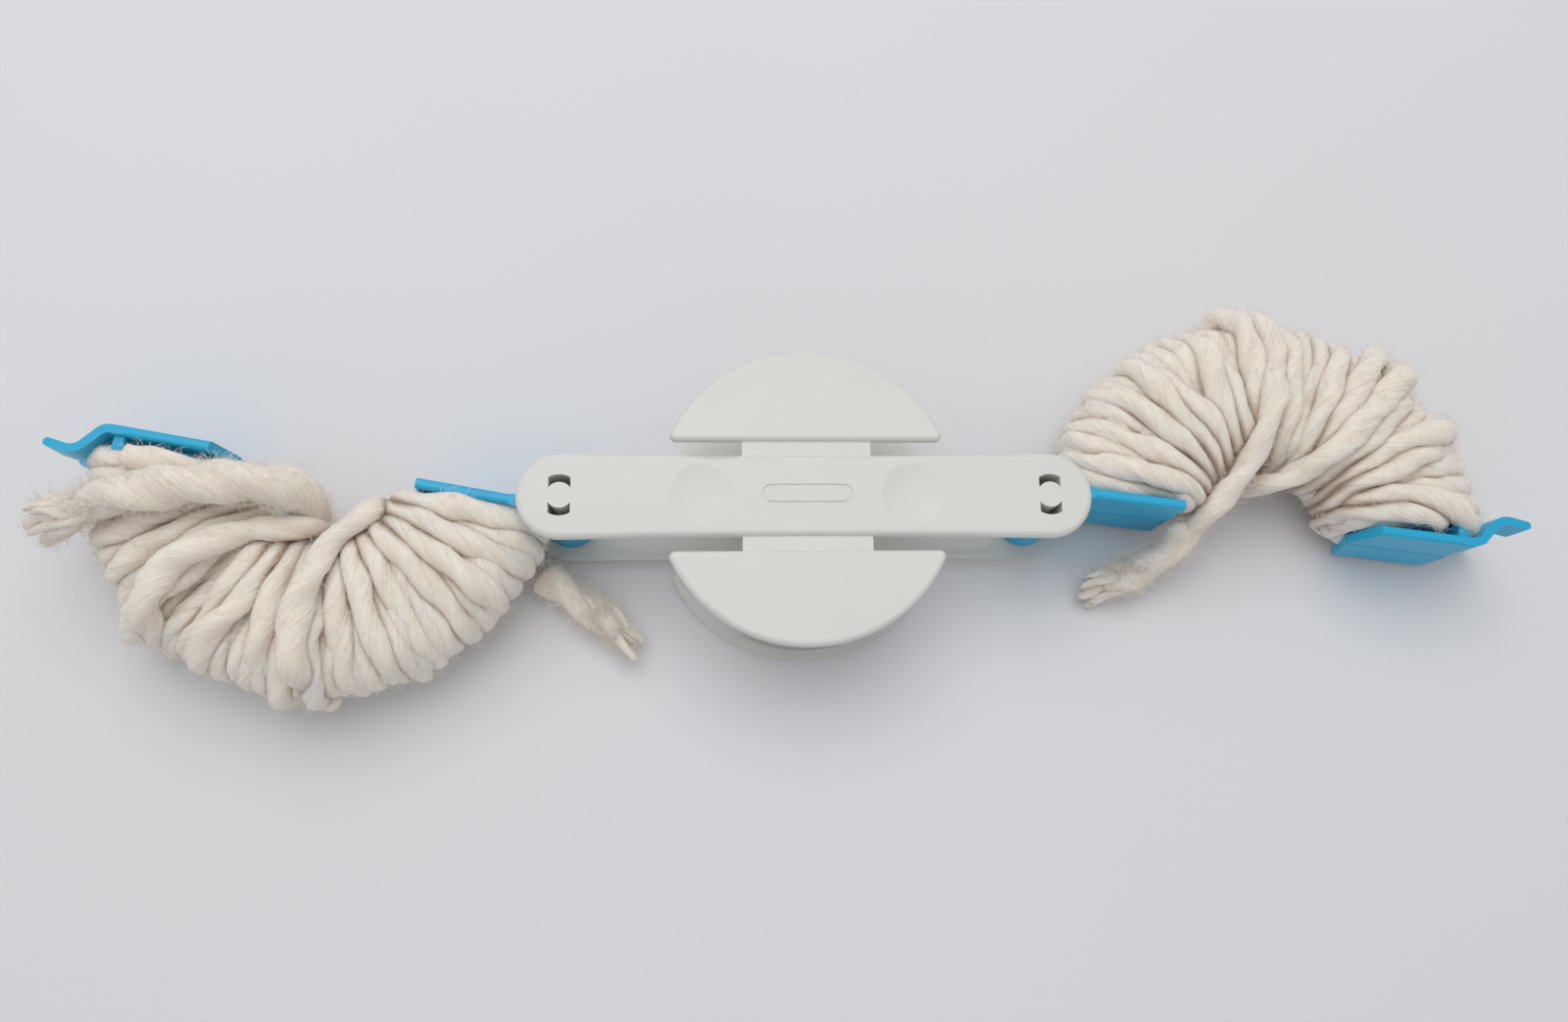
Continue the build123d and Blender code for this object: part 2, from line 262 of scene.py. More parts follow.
# %% [markdown]
# ## Where the yarn goes
# Each pair of arms is easiest to think of on its own: the middle of the ring at the
# origin, the arch bulging towards +Y, the hinge on the -X side. The hinge's place and its
# range say where the opened arms are, so nothing here is fitted by eye.

# %% Ring sizes and places, in millimetres
# The arms' half ring, and how far their end walls reach into the arch.
RING_INNER = 19.84
RING_OUTER = 39.6
RING_MIDDLE = (RING_INNER + RING_OUTER) / 2
WALL_FACE = 3.0
# The strand, and how far apart two full stretches of it settle.
STRAND_RADIUS = 2.3
STRAND_APART = 3.8
# The flat-sided oval of packed turns that the strand is laid on: half its flat, its radius.
PACKED_FLAT = 6.5
PACKED_RADIUS = 5.2
# How far the table lies below the middle of the ring.
TABLE_BELOW = 12.3
# How full the strand is in the hollow, over the arms and round the outside.
FULLNESS_AT = (RING_INNER - 6, RING_MIDDLE - 3, RING_OUTER + 4)
FULLNESS = (0.58, 1.0, 1.08)


def ring_place(side):
    """The matrix from a ring's own millimetres to the part's metres, with the arms open."""
    hinge = joints[f"{side}_upper_hinge"]
    pivot = Vector(hinge["pos_m"])
    facing = 0.0 if side == "left" else math.pi
    opened = facing - math.radians(hinge["range_deg"][0])
    reach = Matrix.Translation((abs(pivot.x), 0, 0))
    turned = Matrix.Translation(pivot) @ Matrix.Rotation(opened, 4, "Z")
    return turned @ reach @ Matrix.Scale(MM, 4)


def stadium(turn, flat, radius):
    """A point on a flat-sided oval, after some turns from its outer tip, rising first."""
    round_half = math.pi * radius
    total = 4 * flat + 2 * round_half
    s = (turn % 1.0) * total
    if s < round_half / 2:
        a = s / radius
        return flat + radius * math.cos(a), radius * math.sin(a)
    s -= round_half / 2
    if s < 2 * flat:
        return flat - s, radius
    s -= 2 * flat
    if s < round_half:
        a = math.pi / 2 + s / radius
        return -flat + radius * math.cos(a), radius * math.sin(a)
    s -= round_half
    if s < 2 * flat:
        return -flat + s, -radius
    s -= 2 * flat
    a = -math.pi / 2 + s / radius
    return flat + radius * math.cos(a), radius * math.sin(a)


def fullness(points):
    """How full the strand is: pressed thin in the crowded hollow, full outside."""
    reach = np.hypot(points[:, 0], points[:, 1])
    return np.interp(reach, FULLNESS_AT, FULLNESS)


# %% [markdown]
# ## Winding the strand
# A hand winding isn't even. The strand starts as neat turns with a little wander, and 220
# small steps settle it: tension pulls it straight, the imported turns, the end walls and the
# table push back, and two stretches that come too close push each other apart. Roving is
# mostly air, so it is pressed thin at the crowded inner edge and swells round the outside.

# %% Lay and settle one strand
POINTS_A_TURN = 36
SETTLE_STEPS = 220
TINY = 1e-6
# Where the turns lie along the arch, in degrees from its latch end, how far round its oval
# the strand starts, in turns, and how often in a turn its wander changes.
FIRST_TURN_AT = 172
TURNS_SPREAD = 164
TURN_STARTS = 0.3
KNOTS_A_TURN = 2
# How far the strand's middle stays off what it rests on, as a share of its radius, and the
# gap it keeps besides from the end wall at the hinge, in mm.
ON_PACKED = 0.8
ON_WALL = 0.85
HINGE_GAP = 0.3
# One settling step: the pull of the tension, and the share and the limit of a push in mm.
# Neighbours on the strand don't push each other, so this is added to their distance.
TENSION = 0.3
PUSH_SHARE = 0.35
LONGEST_PUSH = 0.9
NEVER_NEAR = 1e3


def laid_turns(turns, wander, seed, lift):
    """The strand before it settles: turns spread over the arch, each a little off."""
    rng = np.random.default_rng(seed)
    count = int(turns * POINTS_A_TURN) + 1
    knots = rng.normal(0, wander, int(turns * KNOTS_A_TURN) + 4)
    heights = rng.uniform(0, lift, int(turns) + 2)
    points = np.zeros((count, 3))
    for i in range(count):
        turn = i / POINTS_A_TURN
        share = turn / turns
        k = int(turn * KNOTS_A_TURN)
        part = turn * KNOTS_A_TURN - k
        smooth = part * part * (3 - 2 * part)
        angle = math.radians(
            FIRST_TURN_AT - TURNS_SPREAD * share
            + knots[k] * (1 - smooth) + knots[k + 1] * smooth
        )
        k = int(turn)
        part = turn - k
        radius = (
            PACKED_RADIUS + STRAND_RADIUS + heights[k] * (1 - part) + heights[k + 1] * part
        )
        across, z = stadium(-turn - TURN_STARTS, PACKED_FLAT, radius)
        reach = RING_MIDDLE + across
        points[i] = reach * math.cos(angle), reach * math.sin(angle), z
    return points


def pushed_out(points, latch_gap):
    """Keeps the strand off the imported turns, the end walls and the table."""
    reach = np.hypot(points[:, 0], points[:, 1])
    across = reach - RING_MIDDLE
    flat = np.clip(across, -PACKED_FLAT, PACKED_FLAT)
    dx, dz = across - flat, points[:, 2]
    away = np.maximum(np.hypot(dx, dz), TINY)
    rests_at = PACKED_RADIUS + STRAND_RADIUS * ON_PACKED * fullness(points)
    lack = np.maximum(rests_at - away, 0)
    grown = across + dx / away * lack + RING_MIDDLE
    points[:, :2] *= (grown / np.maximum(reach, TINY))[:, None]
    points[:, 2] += dz / away * lack
    gap = np.where(points[:, 0] > 0, latch_gap, HINGE_GAP)
    wall = WALL_FACE + STRAND_RADIUS * ON_WALL + gap
    points[:, 1] = np.maximum(points[:, 1], wall)
    points[:, 2] = np.maximum(points[:, 2], STRAND_RADIUS * ON_WALL - TABLE_BELOW)


def settled(points, latch_gap, steps):
    """Lets tension, contact and the arms find the strand's own shape."""
    count = len(points)
    index = np.arange(count)
    near_by = np.abs(index[:, None] - index[None, :]) < POINTS_A_TURN // 4
    for _ in range(steps):
        full = fullness(points)
        wanted = STRAND_APART * (full[:, None] + full[None, :]) / 2
        middle = (points[:-2] + points[2:]) / 2
        points[1:-1] += TENSION * (middle - points[1:-1])
        gap = points[:, None, :] - points[None, :, :]
        apart = np.sqrt((gap**2).sum(2)) + near_by * NEVER_NEAR
        lack = np.clip(wanted - apart, 0, None)
        push = (gap * (lack / np.maximum(apart, TINY))[:, :, None]).sum(1)
        size = np.linalg.norm(push, axis=1, keepdims=True)
        points += push * np.minimum(PUSH_SHARE, LONGEST_PUSH / np.maximum(size, TINY))
        pushed_out(points, latch_gap)
    return points


# %% [markdown]
# ## A strand of roving
# Roving is one loose ply: thick and thin, slightly flattened, with its fibres running
# round it in a slow twist. The tube's width swells and shrinks, its oval section turns
# along the length, and each point keeps a fibre coordinate that turns with the twist, so
# the fibre pattern runs along the strand with no seam.

# %% Smooth a line and skin it
RING_SIDES = 18
RING_STEP = 0.9
POINTS_BETWEEN = 8
TWIST_TURN = 24.0
RESTS_ABOVE_TABLE = 0.1 * MM
# The swelling along the strand, and the lobes and ridges of its skin: lengths and widths in
# mm, heights as a share of the thickness, but the ridges' in mm.
SLOW_LENGTH, SLOW_SWELL = 17.0, 0.22
QUICK_LENGTH, QUICK_SWELL = 5.5, 0.10
LOBE_WIDTH, LOBE_LENGTH, LOBE_HEIGHT = 2.2, 8.0, 0.13
RIDGE_WIDTH, RIDGE_LENGTH, RIDGE_HEIGHT = 0.9, 7.0, 0.2
# Every strand reads the pattern of fibres from a place of its own, this far along.
PATTERN_APART = 50
# How thick a tapered end still is at its tip, as a share.
THIN_TIP = 0.15
# A crevice is where another stretch's middle comes nearer than this many strand radii, and
# it is at its darkest when it is this much nearer still. What lies fewer radii along than
# the third number is the same stretch. Points are compared in blocks, to save memory.
CREVICE_FROM = 1.3
CREVICE_DEPTH = 0.5
SAME_STRETCH = 4
OUT_OF_REACH = 99.0
BLOCK = 4000


def lengths_along(line):
    """How far along a line each of its points lies."""
    return np.concatenate([[0], np.cumsum(np.linalg.norm(np.diff(line, axis=0), axis=1))])


def resampled(points, step):
    """A Catmull-Rom spline through the points, with new points about step apart."""
    points = np.asarray(points, float)
    before = np.vstack([2 * points[0] - points[1], points, 2 * points[-1] - points[-2]])
    fine = []
    for i in range(len(points) - 1):
        p0, p1, p2, p3 = before[i : i + 4]
        for t in np.linspace(0, 1, POINTS_BETWEEN, endpoint=False):
            fine.append(
                0.5 * (
                    2 * p1 + (p2 - p0) * t + (2 * p0 - 5 * p1 + 4 * p2 - p3) * t**2
                    + (3 * p1 - p0 - 3 * p2 + p3) * t**3
                )
            )
    fine.append(points[-1])
    fine = np.array(fine)
    along = lengths_along(fine)
    at = np.linspace(0, along[-1], max(2, int(along[-1] / step) + 1))
    return np.stack([np.interp(at, along, fine[:, k]) for k in range(3)], axis=1)


def swell(distance, seed):
    """How thick the roving is at a distance along it, about 1, unlike for each seed."""
    slow = noise.noise(Vector((distance / SLOW_LENGTH, seed * 7.3, 1.7)))
    quick = noise.noise(Vector((distance / QUICK_LENGTH, seed * 3.1, 9.2)))
    return 1.0 + SLOW_SWELL * slow + QUICK_SWELL * quick


def skin_height(fibre, thick, oval):
    """How far the skin lies from the strand's middle, at a fibre's own coordinates."""
    lobe = noise.noise(
        Vector((fibre.x / LOBE_WIDTH, fibre.y / LOBE_WIDTH, fibre.z / LOBE_LENGTH))
    )
    ridge = noise.noise(
        Vector((fibre.x / RIDGE_WIDTH, fibre.y / RIDGE_WIDTH, fibre.z / RIDGE_LENGTH))
    )
    return thick * (oval + LOBE_HEIGHT * lobe) + RIDGE_HEIGHT * ridge


class StrandMesh:
    """Collects tubes of roving into one mesh, with what its material reads."""

    def __init__(self):
        self.points, self.faces, self.fibres, self.centres = [], [], [], []

    def add(self, line, radius, seed, flatness=0.88, taper=(0.0, 0.0), full=None):
        """One tube round a line in mm. taper: the lengths over which its ends thin out."""
        line = np.asarray(line, float)
        full = np.ones(len(line)) if full is None else full
        ways = np.gradient(line, axis=0)
        ways /= np.linalg.norm(ways, axis=1, keepdims=True)
        along = lengths_along(line)
        steep = abs(ways[0][2]) >= 0.9
        side = np.cross(ways[0], (1.0, 0.0, 0.0) if steep else (0.0, 0.0, 1.0))
        base = len(self.points)
        for i, (middle, way, s) in enumerate(zip(line, ways, along)):
            side = side - way * side.dot(way)
            side /= np.linalg.norm(side)
            other = np.cross(way, side)
            thick = radius * full[i] * swell(s, seed)
            for length, gone in ((taper[0], s), (taper[1], along[-1] - s)):
                if length and gone < length:
                    thick *= THIN_TIP + (1 - THIN_TIP) * math.sqrt(max(gone, 0) / length)
            twist = 2 * math.pi * s / TWIST_TURN + seed
            for k in range(RING_SIDES):
                a = 2 * math.pi * k / RING_SIDES
                oval = 1.0 + (1 - flatness) * math.cos(2 * (a - twist))
                fibre = Vector((
                    radius * math.cos(a - twist),
                    radius * math.sin(a - twist),
                    s + seed * PATTERN_APART,
                ))
                r = skin_height(fibre, thick, oval)
                self.points.append(middle + (side * math.cos(a) + other * math.sin(a)) * r)
                self.fibres.append(fibre)
            self.centres.append(middle)
        for i in range(len(line) - 1):
            ring = base + i * RING_SIDES
            for k in range(RING_SIDES):
                a, b = ring + k, ring + (k + 1) % RING_SIDES
                self.faces.append((a, b, b + RING_SIDES, a + RING_SIDES))
        last = base + (len(line) - 1) * RING_SIDES
        self.faces.append(tuple(base + k for k in reversed(range(RING_SIDES))))
        self.faces.append(tuple(last + k for k in range(RING_SIDES)))

    def crevices(self):
        """For each point, 1 deep between two stretches of strand and 0 out in the open."""
        centres = np.array(self.centres).astype(np.float32)
        points = np.array(self.points, np.float32)
        ring = np.arange(len(points)) // RING_SIDES
        far_enough = int(SAME_STRETCH * STRAND_RADIUS / RING_STEP)
        depth = np.zeros(len(points), np.float32)
        index = np.arange(len(centres))
        for first in range(0, len(points), BLOCK):
            block = slice(first, first + BLOCK)
            gap = points[block, None, :] - centres[None, :, :]
            distance = np.sqrt((gap**2).sum(2))
            its_own = np.abs(ring[block, None] - index[None, :]) < far_enough
            distance[its_own] = OUT_OF_REACH
            nearer = CREVICE_FROM * STRAND_RADIUS - distance.min(1)
            depth[block] = np.clip(nearer / (CREVICE_DEPTH * STRAND_RADIUS), 0, 1)
        return depth

    def build(self, name, place, material, crowded=True):
        """The mesh object, moved into the part's frame. A lone strand has no crevices."""
        mesh = bpy.data.meshes.new(name)
        matrix = np.array(place, float)
        moved = np.array(self.points) @ matrix[:3, :3].T + matrix[:3, 3]
        moved[:, 2] = np.maximum(moved[:, 2], RESTS_ABOVE_TABLE)
        mesh.from_pydata(moved.tolist(), [], self.faces)
        depth = self.crevices() if crowded else np.zeros(len(moved), np.float32)
        mesh.attributes.new("crevice", "FLOAT", "POINT").data.foreach_set("value", depth)
        fibre = mesh.attributes.new("fibre", "FLOAT_VECTOR", "POINT")
        fibre.data.foreach_set("vector", np.array(self.fibres, np.float32).ravel())
        mesh.polygons.foreach_set("use_smooth", [True] * len(mesh.polygons))
        mesh.materials.append(material)
        made = bpy.data.objects.new(name, mesh)
        bpy.context.scene.collection.objects.link(made)
        print(name, "faces", len(mesh.polygons))
        return made


# %% [markdown]
# ## The wool's finish
# Undyed wool roving is warm cream, matt, and a little see-through at its edges. Its
# fibres are 0.03 mm thick and can't show here, so the pattern draws bundles of them
# 0.7 mm wide that run along the twist. Deep between two stretches, a painted ochre shade
# darkens the wool.

# %% Roving
FIBRE_BUNDLE = 0.7
BUNDLE_STRETCH = 0.09
BUNDLE_HEIGHT = 0.5 * MM
CREAM = "#FCF3E7"
WARM = "#F5E6D6"
# The painted shade, a dark ochre, that is mixed in deep in the crevices.
PAINTED_CREVICE_SHADE = "#98744F"
PALE_STREAK = "#FFFBF2"
DARK_STREAK = "#D9C3AA"
PALE_FIBRE = "#FAF5EC"


def wool_roving():
    """Cream wool: streaks along the twist, painted ochre shade in the crevices, a soft sheen."""
    material, tree = new_material("undyed_wool_roving")
    fibre = add_node(tree, "ShaderNodeAttribute", {"attribute_name": "fibre"})
    crevice = add_node(tree, "ShaderNodeAttribute", {"attribute_name": "crevice"})
    bundles = (1 / FIBRE_BUNDLE, 1 / FIBRE_BUNDLE, BUNDLE_STRETCH / FIBRE_BUNDLE)
    along = add_node(
        tree, "ShaderNodeMapping", {"Scale": bundles}, {"Vector": fibre.outputs["Vector"]}
    )
    streak = mottle(
        tree, along.outputs[0], Scale=1.0, Detail=4.0, Roughness=0.65, Distortion=0.4
    )
    broad = mottle(tree, fibre.outputs["Vector"], Scale=0.22, Detail=3.0)
    body = blended(tree, broad, WARM, CREAM)
    light = ranged(tree, streak, From_Min=0.3, From_Max=0.7, To_Min=0.0, To_Max=0.22)
    dark = ranged(tree, streak, From_Min=0.5, From_Max=0.28, To_Min=0.0, To_Max=0.35)
    streaked = blended(tree, light, body, PALE_STREAK)
    shadowed = blended(tree, dark, streaked, DARK_STREAK)
    # Painted shade: the deeper a point lies in a crevice, the more dark ochre is mixed in.
    shade = ranged(tree, crevice.outputs["Fac"], To_Min=0.0, To_Max=0.9)
    coloured = blended(tree, shade, shadowed, PAINTED_CREVICE_SHADE)
    bump = bumped(tree, streak, strength=0.9, depth=BUNDLE_HEIGHT)
    softness = {
        "Roughness": 0.92, "Sheen Weight": 0.5, "Sheen Roughness": 0.6,
        "Subsurface Weight": 0.35, "Subsurface Radius": (1.0, 0.8, 0.6),
        "Subsurface Scale": 2.0 * MM, "Specular IOR Level": 0.15,
    }
    surfaced(tree, softness, {"Base Color": coloured, "Normal": bump})
    return material


roving = wool_roving()

# %% [markdown]
# ## Flyaway fibres
# What makes wool look soft is the loose fibre that stands off it. Geometry Nodes scatter
# short bent fibres over a strand's open surface, fewer in the crevices and near the table.
# A real fibre is 0.03 mm thick, and these are 0.07 mm, so that they still show as a soft
# edge.

# %% A tree that grows loose fibres on a strand
FIBRE_LENGTH = 2.6 * MM
SHORTEST_FIBRE = 0.35
FIBRE_THICKNESS = 0.07 * MM
FIBRES_PER_SQUARE_METRE = 8.0e5
FIBRE_BEND = {"Start": (0, 0, 0), "Middle": (0.1, 0.0, 0.35), "End": (0.8, 0.1, 0.5)}
FIBRE_LEAN = 0.7
# No fibre grows in a crevice deeper than this, nor lower over the table than this.
DEEPEST_GROWN = 0.6
LOWEST_GROWN = 2 * MM
ALL_GROWN = 5 * MM


def flyaway_tree(material):
    """A node tree that turns a strand's surface into its loose fibres."""
    tree = bpy.data.node_groups.new("flyaway_fibres", "GeometryNodeTree")
    for name, kind in (
        ("Geometry", "Geometry"), ("Fibres per square metre", "Float"),
        ("Fibre length", "Float"), ("Fibre radius", "Float"), ("Seed", "Int"),
    ):
        tree.interface.new_socket(name, in_out="INPUT", socket_type=f"NodeSocket{kind}")
    tree.interface.new_socket(
        "Geometry", in_out="OUTPUT", socket_type="NodeSocketGeometry"
    )
    enter = add_node(tree, "NodeGroupInput").outputs
    crevice = add_node(
        tree, "GeometryNodeInputNamedAttribute", {"data_type": "FLOAT", "Name": "crevice"}
    )
    exposed = ranged(tree, crevice.outputs[0], From_Min=DEEPEST_GROWN, From_Max=0.0)
    place = add_node(tree, "GeometryNodeInputPosition")
    height = add_node(tree, "ShaderNodeSeparateXYZ", {}, {0: place.outputs[0]}).outputs["Z"]
    above_table = ranged(tree, height, From_Min=LOWEST_GROWN, From_Max=ALL_GROWN)
    share = computed(tree, "MULTIPLY", exposed, above_table)
    density = computed(tree, "MULTIPLY", share, enter["Fibres per square metre"])
    roots = add_node(
        tree, "GeometryNodeDistributePointsOnFaces", {},
        {"Mesh": enter["Geometry"], "Density": density, "Seed": enter["Seed"]},
    )
    bend = add_node(
        tree, "GeometryNodeCurveQuadraticBezier", {"Resolution": 2, **FIBRE_BEND}
    )
    slimness = computed(tree, "DIVIDE", enter["Fibre radius"], enter["Fibre length"])
    ring = add_node(
        tree, "GeometryNodeCurvePrimitiveCircle", {"Resolution": 3}, {"Radius": slimness}
    )
    fibre = add_node(
        tree, "GeometryNodeCurveToMesh", {},
        {"Curve": bend.outputs[0], "Profile Curve": ring.outputs[0]},
    )
    lean = add_node(
        tree, "FunctionNodeRandomValue",
        {
            "data_type": "FLOAT_VECTOR",
            0: (-FIBRE_LEAN, -FIBRE_LEAN, 0.0), 1: (FIBRE_LEAN, FIBRE_LEAN, 2 * math.pi),
        },
        {"Seed": enter["Seed"]},
    )
    lean_turn = add_node(tree, "FunctionNodeEulerToRotation", {}, {0: lean.outputs[0]})
    turned = add_node(
        tree, "FunctionNodeRotateRotation", {"rotation_space": "LOCAL"},
        {0: roots.outputs["Rotation"], 1: lean_turn.outputs[0]},
    )
    size = add_node(
        tree, "FunctionNodeRandomValue", {"data_type": "FLOAT", 2: SHORTEST_FIBRE, 3: 1.0},
        {"Seed": enter["Seed"]},
    )
    scale = computed(tree, "MULTIPLY", size.outputs[1], enter["Fibre length"])
    grown = add_node(
        tree, "GeometryNodeInstanceOnPoints", {},
        {
            "Points": roots.outputs["Points"], "Instance": fibre.outputs[0],
            "Rotation": turned.outputs[0], "Scale": scale,
        },
    )
    real = add_node(tree, "GeometryNodeRealizeInstances", {}, {0: grown.outputs[0]})
    painted = add_node(
        tree, "GeometryNodeSetMaterial", {"Material": material}, {0: real.outputs[0]}
    )
    add_node(tree, "NodeGroupOutput", {}, {0: painted.outputs[0]})
    return tree


def loose_fibre_wool():
    """The same wool seen one fibre at a time: plain, pale and matt."""
    material, tree = new_material("loose_wool_fibre")
    place = add_node(tree, "ShaderNodeTexCoord").outputs["Object"]
    tone = blended(tree, mottle(tree, place, Scale=90.0), WARM, PALE_FIBRE)
    surfaced(tree, {"Roughness": 0.9}, {"Base Color": tone})
    return material


fibre_tree = flyaway_tree(loose_fibre_wool())


def loose_fibres(strand, name, seed, thickly=1.0, longer=1.0):
    """The loose fibres of one strand piece, as a plain mesh of their own."""
    host = bpy.data.objects.new(name, strand.data.copy())
    bpy.context.scene.collection.objects.link(host)
    grow = host.modifiers.new("grow", "NODES")
    grow.node_group = fibre_tree
    choices = {
        "Fibres per square metre": FIBRES_PER_SQUARE_METRE * thickly,
        "Fibre length": FIBRE_LENGTH * longer,
        "Fibre radius": FIBRE_THICKNESS / 2,
        "Seed": seed,
    }
    for item in fibre_tree.interface.items_tree:
        if item.name in choices:
            grow[item.identifier] = choices[item.name]
    evaluated = host.evaluated_get(bpy.context.evaluated_depsgraph_get())
    plain = bpy.data.meshes.new_from_object(evaluated)
    host.modifiers.clear()
    host.data = plain
    print(name, "faces", len(plain.polygons))
    return host


# %% [markdown]
# ## Riding on the arms
# Shut, the arms swing in between the handle's two guards, and the real yarn is pressed
# flat to fit. Each yarn piece rides on the upper arm of its side.


def goes_with_arm(piece, side, node=None):
    """Puts a yarn piece on its side's upper arm, hiding the imported piece it replaces, if any."""
    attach(piece, f"{side}_upper")
    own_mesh(piece)
    if node:
        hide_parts(node)


# %% [markdown]
# ## The two windings
# The settled strand is the body of each winding. Under it, plain close turns stand for
# the wraps that are packed round the arms. A few stretches that lie across the others in
# the photograph are laid last, each resting on whatever is under it.

# %% Lay loose stretches over a winding
LIFTED_FROM = 2.0


def resting(line, under, apart):
    """Lifts a line's upper part, in ring millimetres, to rest on the strands under it."""
    lifted = np.array(line, float)
    for point in lifted:
        flat = np.hypot(under[:, 0] - point[0], under[:, 1] - point[1])
        close = (flat < apart) & (point[2] > LIFTED_FROM)
        if close.any():
            tops = under[close, 2] + np.sqrt(apart**2 - flat[close] ** 2)
            point[2] = max(point[2], tops.max())
    return lifted


def smoothed(line, times):
    """Evens the line out, its ends held."""
    for _ in range(times):
        line[1:-1] += 0.5 * ((line[:-2] + line[2:]) / 2 - line[1:-1])
    return line


# %% Choices for both windings
WINDINGS = {
    "left": {"turns": 34.5, "wander": 2.2, "seed": 4, "lift": 2.5, "latch_gap": 1.8},
    "right": {"turns": 34.5, "wander": 3.0, "seed": 11, "lift": 3.5, "latch_gap": 1.2},
}
# Stretches that cross over the others, as points in the part's own millimetres, chosen
# from the photograph. Each starts and ends low, in the hollow or round the outside.
CROSSING = {
    "left": [
        [
            (-97.5, -8.0, 0), (-96.0, -4.6, 6), (-94.4, -4.4, 15), (-97.0, -5.8, 20),
            (-105.4, -6.4, 20), (-117.6, -13.4, 20), (-122.7, -22.8, 16),
            (-123.2, -26.0, 5),
        ],
        [
            (-84.0, -4.0, 0), (-83.0, -0.6, 6), (-82.2, -1.0, 15), (-84.0, -3.2, 20),
            (-89.3, -8.1, 20), (-92.3, -16.1, 20), (-94.8, -24.9, 20), (-94.0, -34.0, 15),
            (-93.5, -36.0, 5),
        ],
    ],
    "right": [
        [
            (93.5, 39.0, 4), (94.2, 37.0, 15), (95.9, 31.1, 20), (93.9, 19.1, 20),
            (90.2, 8.6, 20), (85.0, 1.4, 19), (81.6, -2.0, 15), (79.8, -5.0, 10),
            (77.5, -7.6, 7),
        ],
        [
            (128.0, 30.0, 4), (125.5, 27.5, 15), (115.9, 18.5, 20), (107.1, 9.9, 20),
            (98.0, 4.6, 19), (93.6, 4.4, 14), (93.4, 7.0, 6), (94.5, 10.5, 0),
        ],
    ],
}
CROSSING_THICKER = 1.12
CROSSING_FULLEST = 0.86
CROSSING_TAPER = (2.0, 2.0)
CROSSING_SMOOTHED = 12
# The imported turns: how many, their strand's radius, how far beyond the oval its middle
# lies, where they lie along the arch, in degrees, and how far they stay off the end walls.
PACKED_TURNS = 22.5
PACKED_POINTS_A_TURN = 24
PACKED_STEP = 1.6
PACKED_STRAND = 2.7
PACKED_OUT = 1.3
PACKED_FIRST_AT = 170
PACKED_SPREAD = 160
PACKED_OFF_WALL = 2.6


def packed_turns(turns):
    """The close plain turns under the outer ones, as one line."""
    count = int(turns * PACKED_POINTS_A_TURN) + 1
    points = np.zeros((count, 3))
    for i in range(count):
        share = i / (count - 1)
        across, z = stadium(-turns * share, PACKED_FLAT, PACKED_RADIUS + PACKED_OUT)
        angle = math.radians(PACKED_FIRST_AT - PACKED_SPREAD * share)
        reach = RING_MIDDLE + across
        off_wall = max(reach * math.sin(angle), WALL_FACE + PACKED_OFF_WALL)
        points[i] = reach * math.cos(angle), off_wall, z
    return points


# %% Build both windings
for side, choice in WINDINGS.items():
    place = ring_place(side)
    seed = choice["seed"]
    start = laid_turns(choice["turns"], choice["wander"], seed, choice["lift"])
    line = settled(start, choice["latch_gap"], SETTLE_STEPS)
    reach = np.hypot(line[:, 0], line[:, 1])
    print(side, "reach mm", reach.min().round(1), reach.max().round(1),
          "height", line[:, 2].min().round(1), line[:, 2].max().round(1))
    strands = StrandMesh()
    fine = resampled(line, RING_STEP)
    strands.add(fine, STRAND_RADIUS, seed, full=fullness(fine))
    back = place.inverted()
    for number, crossing in enumerate(CROSSING[side], start=1):
        local = [list(back @ (Vector(p) * MM)) for p in crossing]
        laid = resting(resampled(local, RING_STEP), fine, STRAND_APART)
        laid = smoothed(laid, CROSSING_SMOOTHED)
        strands.add(
            laid, STRAND_RADIUS * CROSSING_THICKER, seed + number,
            taper=CROSSING_TAPER, full=np.maximum(fullness(laid), CROSSING_FULLEST),
        )
    wraps = strands.build(f"{side}_outer_wraps", place, roving)
    inner = StrandMesh()
    inner.add(resampled(packed_turns(PACKED_TURNS), PACKED_STEP), PACKED_STRAND, seed + 5)
    packed = inner.build(f"{side}_inner_wraps", place, roving)
    fuzz = loose_fibres(wraps, f"{side}_wraps_fibres", seed)
    goes_with_arm(wraps, side, node=f"{side}_yarn_wraps")
    goes_with_arm(packed, side, node=f"{side}_yarn_core")
    goes_with_arm(fuzz, side)

# %% [markdown]
# ## Frayed ends
# Roving isn't cut square here: it was pulled or torn, so it ends as a brush of fibres. The
# strand itself tapers and stops a little short. Round it lie slivers, each a thin copy of
# the strand's last stretch that is set a little aside and spreads as it runs out.

# %% A frayed strand
FRAYED_FLATNESS = 0.86
FRAYED_TAPER = (1.5, 5.0)
STRAND_STOPS_AT = 0.93
SLIVERS = 12
# Where a sliver runs, in points of the line counted back from its end.
SLIVER_STARTS = (14, 22)
SLIVER_STOPS = (0, 4)
# How a sliver lies, as shares of the strand's radius, but the wave and the taper in mm.
SLIVER_ASIDE = 0.6
SLIVER_SPREADS = 0.7
SLIVER_THICKNESS = (0.3, 0.46)
SLIVER_LOWEST = 0.5
SLIVER_WAVE = 0.45
SLIVER_WAVE_TURN = 5
SLIVER_FLATNESS = 0.8
SLIVER_TAPER = (6.0, 7.0)
LESS_UPWARD = (1.0, 1.0, 0.5)


